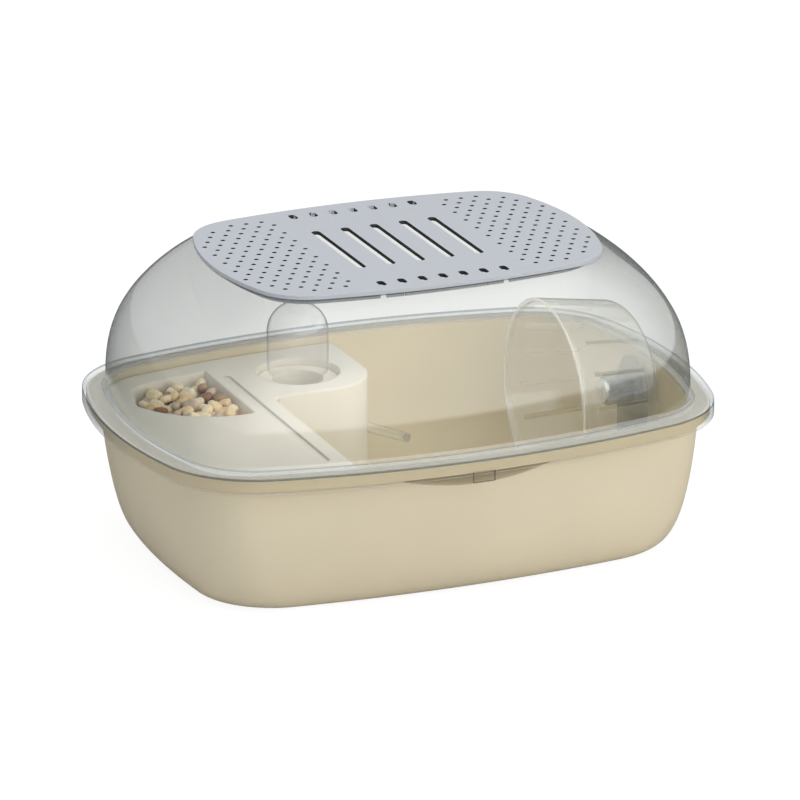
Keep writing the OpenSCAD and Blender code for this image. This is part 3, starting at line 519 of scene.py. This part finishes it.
def dome_rings():
    """The wall from its foot to the crown as one skin, then round the ledge that carries the lid."""
    rows = []
    steps = 40
    for i in range(5):
        t = math.radians(90) * i / 4
        by = FLANGE_W - FOOT_ROUND * (1 - math.sin(t))
        rows.append(ring(inset(FLANGE, by), FLANGE_TOP + FOOT_ROUND * (1 - math.cos(t))))
    for i in range(steps + 1):
        s = math.sin(math.radians(90) * i / steps)
        z = FLANGE_TOP + DOME_RISE * s
        if z > FLANGE_TOP + FOOT_ROUND + 0.5:
            rows.append(ring(dome_plan(s), z))
    opening = inset(CROWN, LEDGE + DOME_WALL)
    rows += rounded(lambda d: inset(opening, -d), lambda d: CROWN_Z - d, 0.6, 90, 0)
    rows.append(ring(opening, CROWN_Z - DOME_WALL))
    rows.append(ring(inset(CROWN, DOME_WALL + 0.8), CROWN_Z - DOME_WALL))
    return rows


def rim_rings():
    """The closed section of the flange and its skirt."""
    rows = [ring(inset(FLANGE, 0.4), SKIRT_Z), ring(FLANGE, SKIRT_Z + 0.4)]
    rows.append(ring(FLANGE, FLANGE_TOP - EDGE_BAND))
    rows += rounded(lambda d: inset(FLANGE, d), lambda d: FLANGE_TOP - d, 0.8, 0, 90)
    rows.append(ring(inset(FLANGE, FLANGE_W - FOOT_ROUND), FLANGE_TOP))
    rows += [ring(inset(FLANGE, FLANGE_W + DOME_WALL), FLANGE_TOP - 0.6), ring(inset(FOOT, DOME_WALL), TUB_H)]
    rows += [ring(inset(FLANGE, DOME_WALL), TUB_H), ring(inset(FLANGE, DOME_WALL), SKIRT_Z)]
    return rows


dome = new_object("dome", skin("dome", dome_rings()), "cover", DOME_MAT)
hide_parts("dome_cover")
rim = new_object("rim", skin("rim", rim_rings(), loop=True), "cover", [RIM_MAT, RIM_EDGE_SHADE_MAT, SKIRT_MAT])
# The upper band of the flange's outer side takes the dark edge colour, painted shade; the other upright faces
# take the skirt's.
for face in rim.data.polygons:
    outward = face.normal.xy.dot(face.center.xy) > 0
    if abs(face.normal.z) < 0.8:
        face.material_index = 1 if outward and face.center.z > (FLANGE_TOP - EDGE_BAND) * MM else 2
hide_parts("cover_skirt")


def soft_box(name, low, high, edge, body, material):
    """A box with rounded edges, in millimetres."""
    bm = bmesh.new()
    bmesh.ops.create_cube(bm, size=1.0)
    low, high = Vector(low), Vector(high)
    for v in bm.verts:
        v.co = Vector((low[k] + (high[k] - low[k]) * (v.co[k] + 0.5) for k in range(3))) * MM
    bmesh.ops.bevel(bm, geom=bm.edges[:], offset=edge * MM, segments=3, affect="EDGES", profile=0.5)
    mesh = bpy.data.meshes.new(name)
    bm.to_mesh(mesh)
    bm.free()
    smooth(mesh, 40)
    return new_object(name, mesh, body, material)


for side, label in ((-1, "front"), (1, "back")):
    outer = side * FLANGE[1]
    near, far = sorted((outer - side * CATCH_INSET, outer - side * DOME_WALL))
    low = (-CATCH_W / 2, near, SKIRT_Z - CATCH_DROP)
    high = (CATCH_W / 2, far, SKIRT_Z + 1.5)
    tab = soft_box(f"catch_tab_{label}", low, high, 0.3, "cover", [SKIRT_MAT, RIM_EDGE_SHADE_MAT])
    # The tab's sides and underside take the dark edge colour: painted shade.
    for face in tab.data.polygons:
        face.material_index = int(face.normal.z < -0.5 or abs(face.normal.x) > 0.5)


# ---------------------------------------------------------------- bottle, tube and wheel
def turned(name, profile, at, axis, steps=64):
    """One skin round an axis, from pairs of radius and distance along it."""
    along = Vector(axis).normalized()
    across = along.orthogonal().normalized()
    third = along.cross(across)
    rings = []
    for radius, far in profile:
        row = []
        for i in range(steps):
            t = math.tau * i / steps
            row.append(Vector(at) + along * far + (across * math.cos(t) + third * math.sin(t)) * radius)
        rings.append(row)
    return skin(name, rings)


BOTTLE_AT, BOTTLE_R, NECK_R = (-30, 66, 0), 16.5, 13.5
NECK_LOW, NECK_TOP, DOME_LOW = 60.2, 71.2, 95.5
TUBE_AT, TUBE_WAY, TUBE_R = (5, 66, 38), (0.9317, 0, -0.3633), 2.7
TUBE_BACK, TUBE_TIP, TUBE_LIP_R = -23.0, 31.5, 1.65


def bottle_profile():
    """The neck, the shoulder, the straight wall and the round end of the inverted bottle."""
    neck = [(NECK_R, NECK_LOW), (NECK_R, NECK_TOP), (NECK_R + 0.5, NECK_TOP + 0.5)]
    shoulder = [(BOTTLE_R - 0.5, 73.7), (BOTTLE_R - 0.1, 74.4), (BOTTLE_R, 75.2)]
    turns = [math.radians(90) * i / 12 for i in range(12)]
    top = [(BOTTLE_R * math.cos(t), DOME_LOW + BOTTLE_R * math.sin(t)) for t in turns]
    return neck + shoulder + top + [(0.02, DOME_LOW + BOTTLE_R)]


bottle_skin = turned("bottle", bottle_profile(), BOTTLE_AT, (0, 0, 1))
bottle = new_object("bottle", bottle_skin, "bottle", [BOTTLE_MAT, NECK_MAT])
for face in bottle.data.polygons:
    face.material_index = int(face.center.z < 76 * MM)
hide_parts("water_bottle")
tube_line = [(TUBE_R, TUBE_BACK), (TUBE_R, TUBE_TIP - 1)]
tube_line += [(TUBE_R - 0.3, TUBE_TIP - 0.3), (TUBE_LIP_R, TUBE_TIP)]
tube = new_object("tube", turned("tube", tube_line, TUBE_AT, TUBE_WAY, 32), "feeder", TUBE_MAT)
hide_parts("drinking_tube")

WHEEL_AT = Vector((85.8, 4.3, 62.0))
WHEEL_R, WHEEL_WALL, WHEEL_DEPTH = 54.0, 2.2, 49.4
BEND_R, BEND_AT, BEND_START = 11.0, 38.4, 37.5
HUB_R, BORE_R, HUB_AT = 8.5, 5.06, 36.4
SLOTS, SLOT_HALF, SLOT_FROM = 18, 1.24, 9.0


def wheel_mesh():
    """The drum as one skin: its slots are cut through, and their sides show the wall."""
    turns = [20 * i + a for i in range(SLOTS) for a in (-SLOT_HALF, SLOT_HALF, 5.0, 10.0, 15.0)]
    inner = WHEEL_R - WHEEL_WALL
    mouth = [(inner - 0.2, 3.0), (inner, 0.3), (inner + 0.3, 0.0), (WHEEL_R - 0.3, 0.0), (WHEEL_R, 0.3)]
    taper = (WHEEL_R - BEND_START - BEND_R) / BEND_AT
    wall = [(WHEEL_R - taper * h, h) for h in (SLOT_FROM, 24.0, BEND_AT)]
    arc = [math.radians(a) for a in (13.67, 26, 39, 52, 65, 78, 90)]
    bend = [(BEND_START + BEND_R * math.cos(a), BEND_AT + BEND_R * math.sin(a)) for a in arc]
    hub = [(20.0, WHEEL_DEPTH), (BORE_R, WHEEL_DEPTH), (BORE_R, HUB_AT), (HUB_R, HUB_AT), (HUB_R, 48.5)]
    profile = mouth + wall + bend + hub
    bm = bmesh.new()

    def row(radius, far):
        angles = [math.radians(t) for t in turns]
        spots = [WHEEL_AT + Vector((far, radius * math.sin(t), radius * math.cos(t))) for t in angles]
        return [bm.verts.new(p * MM) for p in spots]

    rows = [row(*p) for p in profile]
    first, last = len(mouth), len(mouth + wall)
    under = {k: row(profile[k][0] - WHEEL_WALL, profile[k][1]) for k in range(first, last + 1)}
    n = len(turns)
    for k in range(len(rows) - 1):
        for i in range(n):
            j = (i + 1) % n
            if i % 5 or not first <= k < last:
                bm.faces.new((rows[k][i], rows[k][j], rows[k + 1][j], rows[k + 1][i]))
                continue
            for side in (i, j):
                bm.faces.new((rows[k][side], under[k][side], under[k + 1][side], rows[k + 1][side]))
    for i in range(0, n, 5):
        for k in (first, last):
            bm.faces.new((rows[k][i], rows[k][i + 1], under[k][i + 1], under[k][i]))
    for v in [v for v in bm.verts if not v.link_faces]:
        bm.verts.remove(v)
    bmesh.ops.recalc_face_normals(bm, faces=bm.faces)
    mesh = bpy.data.meshes.new("wheel")
    bm.to_mesh(mesh)
    bm.free()
    smooth(mesh)
    return mesh


wheel = new_object("wheel", wheel_mesh(), "wheel", [WHEEL_MAT, WHEEL_RIM_MAT, STAND_MAT])
for face in wheel.data.polygons:
    out = (face.center.yz - WHEEL_AT.yz * MM).length
    face.material_index = 2 if out < (HUB_R + 0.5) * MM else int(face.center.x < (WHEEL_AT.x + 1.6) * MM)
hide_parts("wheel_drum")


# ---------------------------------------------------------------- feed
BOWL_C, BOWL_R, BOWL_RIGHT, BOWL_LAND = Vector((-82.0, 60.0)), 49.0, -75.5, 15.0


def inside_bowl(x, y, margin):
    """True if a point of the plan lies inside the bowl by a margin."""
    if (Vector((x, y)) - BOWL_C).length > BOWL_R - margin or x > BOWL_RIGHT - margin:
        return False
    return inside_outline(x, y, inset(TUB, TUB_WALL + BOWL_LAND + margin))


def kibble(rng, bm, centre, size, kind):
    """One piece of feed: a lumpy pellet, disc or block."""
    made = bmesh.ops.create_icosphere(bm, subdivisions=3, radius=1.0)["verts"]
    stretch = {
        "pellet": (1.0, 0.72, 0.62), "disc": (1.0, 0.9, 0.42),
        "block": (0.95, 0.8, 0.7), "drop": (1.1, 0.6, 0.55),
    }[kind]
    power = {"pellet": 0.8, "disc": 0.75, "block": 0.55, "drop": 0.9}[kind]
    tilt = Matrix.Rotation(rng.uniform(-0.45, 0.45), 3, "X")
    tilt = tilt @ Matrix.Rotation(rng.uniform(-0.45, 0.45), 3, "Y")
    turn = tilt @ Matrix.Rotation(rng.uniform(0, math.tau), 3, "Z")
    offset = Vector((rng.uniform(-50, 50), rng.uniform(-50, 50), rng.uniform(-50, 50)))
    for v in made:
        p = v.co.normalized()
        lump = 1 + 0.10 * noise.noise(p * 1.6 + offset) + 0.03 * noise.noise(p * 5 + offset)
        shaped = Vector(math.copysign(abs(c) ** power, c) for c in p)
        shaped = Vector(s * k for s, k in zip(shaped, stretch)) * (size / 2) * lump
        v.co = (turn @ shaped + centre) * MM


def feed_heap():
    """The loose pieces on top of the feed, each laid where it comes to lie lowest."""
    rng = random.Random(7)
    bm = bmesh.new()
    placed = []
    base_z = DECK_Z - 12.5
    kinds = ["pellet", "disc", "block", "drop", "pellet", "block"]
    for _ in range(330):
        size = rng.uniform(6.6, 9.6)
        best = None
        for _ in range(12):
            x = rng.uniform(BOWL_C.x - BOWL_R, BOWL_RIGHT)
            y = rng.uniform(BOWL_C.y - BOWL_R, BOWL_C.y + BOWL_R)
            if not inside_bowl(x, y, 5.6):
                continue
            z = base_z
            for p, s in placed:
                reach = (s + size) * 0.40
                d = math.hypot(p.x - x, p.y - y)
                if d < reach:
                    z = max(z, p.z + 0.62 * math.sqrt(reach * reach - d * d))
            if best is None or z < best.z:
                best = Vector((x, y, z))
        if best is None or best.z > DECK_Z - 2.5:
            continue
        placed.append((best, size))
        kibble(rng, bm, best, size, rng.choice(kinds))
    mesh = bpy.data.meshes.new("feed_heap")
    bm.to_mesh(mesh)
    bm.free()
    smooth(mesh, 60)
    return new_object("feed_heap", mesh, "feeder", FEED_MAT)


heap = feed_heap()
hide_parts("feed_mix")


def feed_bed():
    """The feed under the loose top pieces, as one lumpy layer."""
    bm = bmesh.new()
    step = 2.2
    grid = {}
    top = DECK_Z - 12.0
    for i in range(-2, 46):
        for j in range(-2, 48):
            x, y = BOWL_C.x - BOWL_R + i * step, BOWL_C.y - BOWL_R + j * step
            if inside_bowl(x, y, 3.4):
                z = top + 1.6 * noise.noise(Vector((x, y, 0)) * 0.28)
                grid[i, j] = bm.verts.new(Vector((x, y, z)) * MM)
    for (i, j), v in list(grid.items()):
        corners = [grid.get(k) for k in ((i, j), (i + 1, j), (i + 1, j + 1), (i, j + 1))]
        if None not in corners:
            bm.faces.new(corners)
    mesh = bpy.data.meshes.new("feed_bed")
    bm.to_mesh(mesh)
    bm.free()
    smooth(mesh, 60)
    bed = new_object("feed_bed", mesh, "feeder", FEED_BED_MAT)


feed_bed()


# ---------------------------------------------------------------- floor, world and lights
def floor_material():
    n = Nodes("floor_white")
    rays = n.add("ShaderNodeLightPath")
    seen = n.math("MAXIMUM", rays.outputs["Is Camera Ray"], rays.outputs["Is Transmission Ray"])
    part = n.math("MULTIPLY", seen, 0.8)
    diffuse = n.add("ShaderNodeBsdfPrincipled", Roughness=0.9)
    diffuse.inputs["Base Color"].default_value = (0.86, 0.86, 0.86, 1)
    diffuse.inputs["Specular IOR Level"].default_value = 0.1
    glow = n.add("ShaderNodeEmission")
    glow.inputs["Strength"].default_value = 1.12
    mix = n.add("ShaderNodeMixShader", Fac=part)
    n.tree.links.new(diffuse.outputs["BSDF"], mix.inputs[1])
    n.tree.links.new(glow.outputs[0], mix.inputs[2])
    n.set(n.out, "Surface", mix.outputs[0])
    return n.material


def plane(name, size, material):
    bm = bmesh.new()
    bmesh.ops.create_grid(bm, x_segments=2, y_segments=2, size=size / 2)
    mesh = bpy.data.meshes.new(name)
    bm.to_mesh(mesh)
    bm.free()
    obj = new_object(name, mesh, None, material)
    return obj


floor = plane("floor", 40.0, floor_material())
floor.location.z = -0.0004
floor.visible_glossy = False


class WorldNodes(Nodes):
    """The same short way for the world's nodes."""

    def __init__(self, world):
        world.use_nodes = True
        self.tree = world.node_tree
        self.tree.nodes.clear()
        self.out = self.add("ShaderNodeOutputWorld")

    def sky(self, color, strength):
        node = self.add("ShaderNodeBackground", Strength=strength)
        node.inputs["Color"].default_value = (*color, 1)
        return node.outputs[0]

    def mix(self, fac, first, second):
        node = self.add("ShaderNodeMixShader", Fac=fac)
        self.tree.links.new(first, node.inputs[1])
        self.tree.links.new(second, node.inputs[2])
        return node.outputs[0]


def studio():
    """White behind the keeper, soft fill on it, and a bright half of the room above it in its gloss."""
    scene.world = bpy.data.worlds.new("studio")
    n = WorldNodes(scene.world)
    rays = n.add("ShaderNodeLightPath")
    way = n.add("ShaderNodeTexCoord").outputs["Generated"]
    split = n.add("ShaderNodeSeparateXYZ", Vector=way).outputs
    side = n.add("ShaderNodeVectorMath", **{"0": way})
    side.operation = "DOT_PRODUCT"
    side.inputs[1].default_value = (0.74, -0.67, 0.1)
    bright = n.ranged(side.outputs["Value"], 0.6, 3.2, -0.1, 0.95)
    above = n.ranged(split["Z"], 0.0, 1.0, 0.0, 0.03)
    gloss = n.mix(above, n.sky((1, 1, 1), 0.10), n.sky((0.96, 0.98, 1.0), bright))
    fill = n.mix(rays.outputs["Is Glossy Ray"], n.sky((0.95, 0.97, 1.0), 0.55), gloss)
    seen = n.math("MAXIMUM", rays.outputs["Is Camera Ray"], rays.outputs["Is Transmission Ray"])
    n.set(n.out, "Surface", n.mix(seen, fill, n.sky((1, 1, 1), 1.0)))


studio()


def lamp(name, at, size, power, color=(1, 1, 1), to=(0, 0, 0.08)):
    data = bpy.data.lights.new(name, "AREA")
    data.shape = "RECTANGLE"
    data.size, data.size_y = size
    data.energy = power
    data.color = color
    obj = bpy.data.objects.new(name, data)
    obj.location = at
    obj.rotation_mode = "QUATERNION"
    obj.rotation_quaternion = (Vector(to) - Vector(at)).to_track_quat("-Z", "Y")
    obj.visible_glossy = False
    obj.visible_camera = False
    obj.visible_transmission = False
    scene.collection.objects.link(obj)
    return obj


lamp("key", (1.15, -1.75, 0.85), (1.4, 1.1), 17, (1.0, 0.985, 0.955))
lamp("fill", (-1.9, -0.9, 1.0), (1.4, 1.2), 3, (0.95, 0.97, 1.0))
lamp("top", (-0.1, -0.2, 1.9), (1.8, 1.8), 14, (1.0, 1.0, 1.0))
lamp("inside_top", (0.01, -0.01, 0.147), (0.18, 0.11), 0.10, (1.0, 0.985, 0.95), (0.01, -0.01, 0.0))
lamp("inside_front", (0.05, -0.08, 0.11), (0.12, 0.04), 0.03, (1.0, 0.985, 0.95), (0.02, 0.10, 0.045))

scene.view_settings.view_transform = "Standard"
